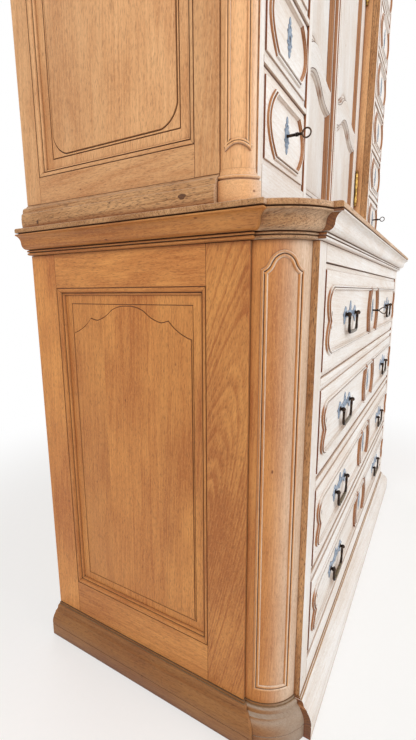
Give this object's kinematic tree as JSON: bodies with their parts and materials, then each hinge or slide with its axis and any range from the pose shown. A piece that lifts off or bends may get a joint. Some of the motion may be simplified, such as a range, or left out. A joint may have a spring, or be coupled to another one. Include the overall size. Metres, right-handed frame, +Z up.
{
  "type": "two-part buffet",
  "caption": "Tall oak buffet: a moulded chest of long drawers with bail handles carries a recessed cupboard, its panelled doors between stacks of small locked drawers.",
  "frame": {"origin": "centre of the bounding box's foot, on the floor", "axes": "+X to the right for someone who faces the drawers, +Y to the back, +Z up"},
  "size_m": [1.42, 0.645, 2.1227],
  "materials": {
    "honey_oak": "waxed oak, honey brown",
    "pale_oak": "pale waxed oak",
    "inner_oak": "bare sawn oak",
    "black_iron": "dark forged iron",
    "blued_steel": "bluish polished steel",
    "worn_brass": "worn brass"
  },
  "bodies": {
    "carcass": {"plinth": "honey_oak", "lower_side_left": "honey_oak", "lower_side_right": "honey_oak", "lower_post_left": "honey_oak", "lower_post_right": "honey_oak", "lower_drawer_frame": "pale_oak", "lower_back": "inner_oak", "waist_moulding": "honey_oak", "lower_top_board": "honey_oak", "upper_base": "honey_oak", "upper_side_left": "honey_oak", "upper_side_right": "honey_oak", "upper_post_left": "honey_oak", "upper_post_right": "honey_oak", "stack_frame_left": "pale_oak", "stack_frame_right": "pale_oak", "upper_back": "inner_oak", "cupboard_shelf": "inner_oak", "cornice": "honey_oak", "hinge_left_lower": "worn_brass", "hinge_left_upper": "worn_brass", "hinge_right_lower": "worn_brass", "hinge_right_upper": "worn_brass"},
    "long_drawer_1": {"long_drawer_1": "pale_oak", "handle_plate_1_left": "blued_steel", "handle_plate_1_right": "blued_steel"},
    "long_drawer_2": {"long_drawer_2": "pale_oak", "handle_plate_2_left": "blued_steel", "handle_plate_2_right": "blued_steel"},
    "long_drawer_3": {"long_drawer_3": "pale_oak", "handle_plate_3_left": "blued_steel", "handle_plate_3_right": "blued_steel"},
    "long_drawer_4": {"long_drawer_4": "pale_oak", "handle_plate_4_left": "blued_steel", "handle_plate_4_right": "blued_steel"},
    "bail_1_left": {"bail_1_left": "black_iron"},
    "bail_1_right": {"bail_1_right": "black_iron"},
    "bail_2_left": {"bail_2_left": "black_iron"},
    "bail_2_right": {"bail_2_right": "black_iron"},
    "bail_3_left": {"bail_3_left": "black_iron"},
    "bail_3_right": {"bail_3_right": "black_iron"},
    "bail_4_left": {"bail_4_left": "black_iron"},
    "bail_4_right": {"bail_4_right": "black_iron"},
    "small_drawer_left_1": {"small_drawer_left_1": "pale_oak"},
    "small_drawer_left_2": {"small_drawer_left_2": "pale_oak"},
    "small_drawer_left_3": {"small_drawer_left_3": "pale_oak"},
    "small_drawer_left_4": {"small_drawer_left_4": "pale_oak"},
    "small_drawer_left_5": {"small_drawer_left_5": "pale_oak"},
    "small_drawer_left_6": {"small_drawer_left_6": "pale_oak"},
    "small_drawer_right_1": {"small_drawer_right_1": "pale_oak"},
    "small_drawer_right_2": {"small_drawer_right_2": "pale_oak"},
    "small_drawer_right_3": {"small_drawer_right_3": "pale_oak"},
    "small_drawer_right_4": {"small_drawer_right_4": "pale_oak"},
    "small_drawer_right_5": {"small_drawer_right_5": "pale_oak"},
    "small_drawer_right_6": {"small_drawer_right_6": "pale_oak"},
    "door_left": {"door_left": "pale_oak"},
    "door_right": {"door_right": "pale_oak"},
    "key_long_drawer": {"key_long_drawer": "black_iron"},
    "key_small_drawer_left": {"key_small_drawer_left": "black_iron"},
    "key_small_drawer_right": {"key_small_drawer_right": "black_iron"}
  },
  "joints": [
    {"name": "long_drawer_1_slide", "type": "slide", "parent": "carcass", "child": "long_drawer_1", "axis": [0, -1, 0], "range_m": [0, 0.4]},
    {"name": "long_drawer_2_slide", "type": "slide", "parent": "carcass", "child": "long_drawer_2", "axis": [0, -1, 0], "range_m": [0, 0.4]},
    {"name": "long_drawer_3_slide", "type": "slide", "parent": "carcass", "child": "long_drawer_3", "axis": [0, -1, 0], "range_m": [0, 0.4]},
    {"name": "long_drawer_4_slide", "type": "slide", "parent": "carcass", "child": "long_drawer_4", "axis": [0, -1, 0], "range_m": [0, 0.4]},
    {"name": "bail_1_left_swing", "type": "hinge", "parent": "long_drawer_1", "child": "bail_1_left", "pos_m": [-0.317, -0.2951, 0.8065], "axis": [-1, 0, 0], "range_deg": [0, 85]},
    {"name": "bail_1_right_swing", "type": "hinge", "parent": "long_drawer_1", "child": "bail_1_right", "pos_m": [0.317, -0.2951, 0.8065], "axis": [-1, 0, 0], "range_deg": [0, 85]},
    {"name": "bail_2_left_swing", "type": "hinge", "parent": "long_drawer_2", "child": "bail_2_left", "pos_m": [-0.317, -0.2951, 0.6045], "axis": [-1, 0, 0], "range_deg": [0, 85]},
    {"name": "bail_2_right_swing", "type": "hinge", "parent": "long_drawer_2", "child": "bail_2_right", "pos_m": [0.317, -0.2951, 0.6045], "axis": [-1, 0, 0], "range_deg": [0, 85]},
    {"name": "bail_3_left_swing", "type": "hinge", "parent": "long_drawer_3", "child": "bail_3_left", "pos_m": [-0.317, -0.2951, 0.4115], "axis": [-1, 0, 0], "range_deg": [0, 85]},
    {"name": "bail_3_right_swing", "type": "hinge", "parent": "long_drawer_3", "child": "bail_3_right", "pos_m": [0.317, -0.2951, 0.4115], "axis": [-1, 0, 0], "range_deg": [0, 85]},
    {"name": "bail_4_left_swing", "type": "hinge", "parent": "long_drawer_4", "child": "bail_4_left", "pos_m": [-0.317, -0.2951, 0.2185], "axis": [-1, 0, 0], "range_deg": [0, 85]},
    {"name": "bail_4_right_swing", "type": "hinge", "parent": "long_drawer_4", "child": "bail_4_right", "pos_m": [0.317, -0.2951, 0.2185], "axis": [-1, 0, 0], "range_deg": [0, 85]},
    {"name": "small_drawer_left_1_slide", "type": "slide", "parent": "carcass", "child": "small_drawer_left_1", "axis": [0, -1, 0], "range_m": [0, 0.3]},
    {"name": "small_drawer_left_2_slide", "type": "slide", "parent": "carcass", "child": "small_drawer_left_2", "axis": [0, -1, 0], "range_m": [0, 0.3]},
    {"name": "small_drawer_left_3_slide", "type": "slide", "parent": "carcass", "child": "small_drawer_left_3", "axis": [0, -1, 0], "range_m": [0, 0.3]},
    {"name": "small_drawer_left_4_slide", "type": "slide", "parent": "carcass", "child": "small_drawer_left_4", "axis": [0, -1, 0], "range_m": [0, 0.3]},
    {"name": "small_drawer_left_5_slide", "type": "slide", "parent": "carcass", "child": "small_drawer_left_5", "axis": [0, -1, 0], "range_m": [0, 0.3]},
    {"name": "small_drawer_left_6_slide", "type": "slide", "parent": "carcass", "child": "small_drawer_left_6", "axis": [0, -1, 0], "range_m": [0, 0.3]},
    {"name": "small_drawer_right_1_slide", "type": "slide", "parent": "carcass", "child": "small_drawer_right_1", "axis": [0, -1, 0], "range_m": [0, 0.3]},
    {"name": "small_drawer_right_2_slide", "type": "slide", "parent": "carcass", "child": "small_drawer_right_2", "axis": [0, -1, 0], "range_m": [0, 0.3]},
    {"name": "small_drawer_right_3_slide", "type": "slide", "parent": "carcass", "child": "small_drawer_right_3", "axis": [0, -1, 0], "range_m": [0, 0.3]},
    {"name": "small_drawer_right_4_slide", "type": "slide", "parent": "carcass", "child": "small_drawer_right_4", "axis": [0, -1, 0], "range_m": [0, 0.3]},
    {"name": "small_drawer_right_5_slide", "type": "slide", "parent": "carcass", "child": "small_drawer_right_5", "axis": [0, -1, 0], "range_m": [0, 0.3]},
    {"name": "small_drawer_right_6_slide", "type": "slide", "parent": "carcass", "child": "small_drawer_right_6", "axis": [0, -1, 0], "range_m": [0, 0.3]},
    {"name": "door_left_swing", "type": "hinge", "parent": "carcass", "child": "door_left", "pos_m": [-0.3563, -0.1528, 1.0342], "axis": [0, 0, -1], "range_deg": [0, 88]},
    {"name": "door_right_swing", "type": "hinge", "parent": "carcass", "child": "door_right", "pos_m": [0.3563, -0.1528, 1.0342], "axis": [0, 0, 1], "range_deg": [0, 88]},
    {"name": "key_long_drawer_turn", "type": "hinge", "parent": "long_drawer_1", "child": "key_long_drawer", "pos_m": [0, -0.2865, 0.8005], "axis": [0, 1, 0], "range_deg": [0, 180]},
    {"name": "key_small_drawer_left_turn", "type": "hinge", "parent": "small_drawer_left_1", "child": "key_small_drawer_left", "pos_m": [-0.4885, -0.1935, 1.1217], "axis": [0, 1, 0], "range_deg": [0, 180]},
    {"name": "key_small_drawer_right_turn", "type": "hinge", "parent": "small_drawer_right_1", "child": "key_small_drawer_right", "pos_m": [0.4885, -0.1935, 1.1217], "axis": [0, 1, 0], "range_deg": [0, 180]}
  ]
}
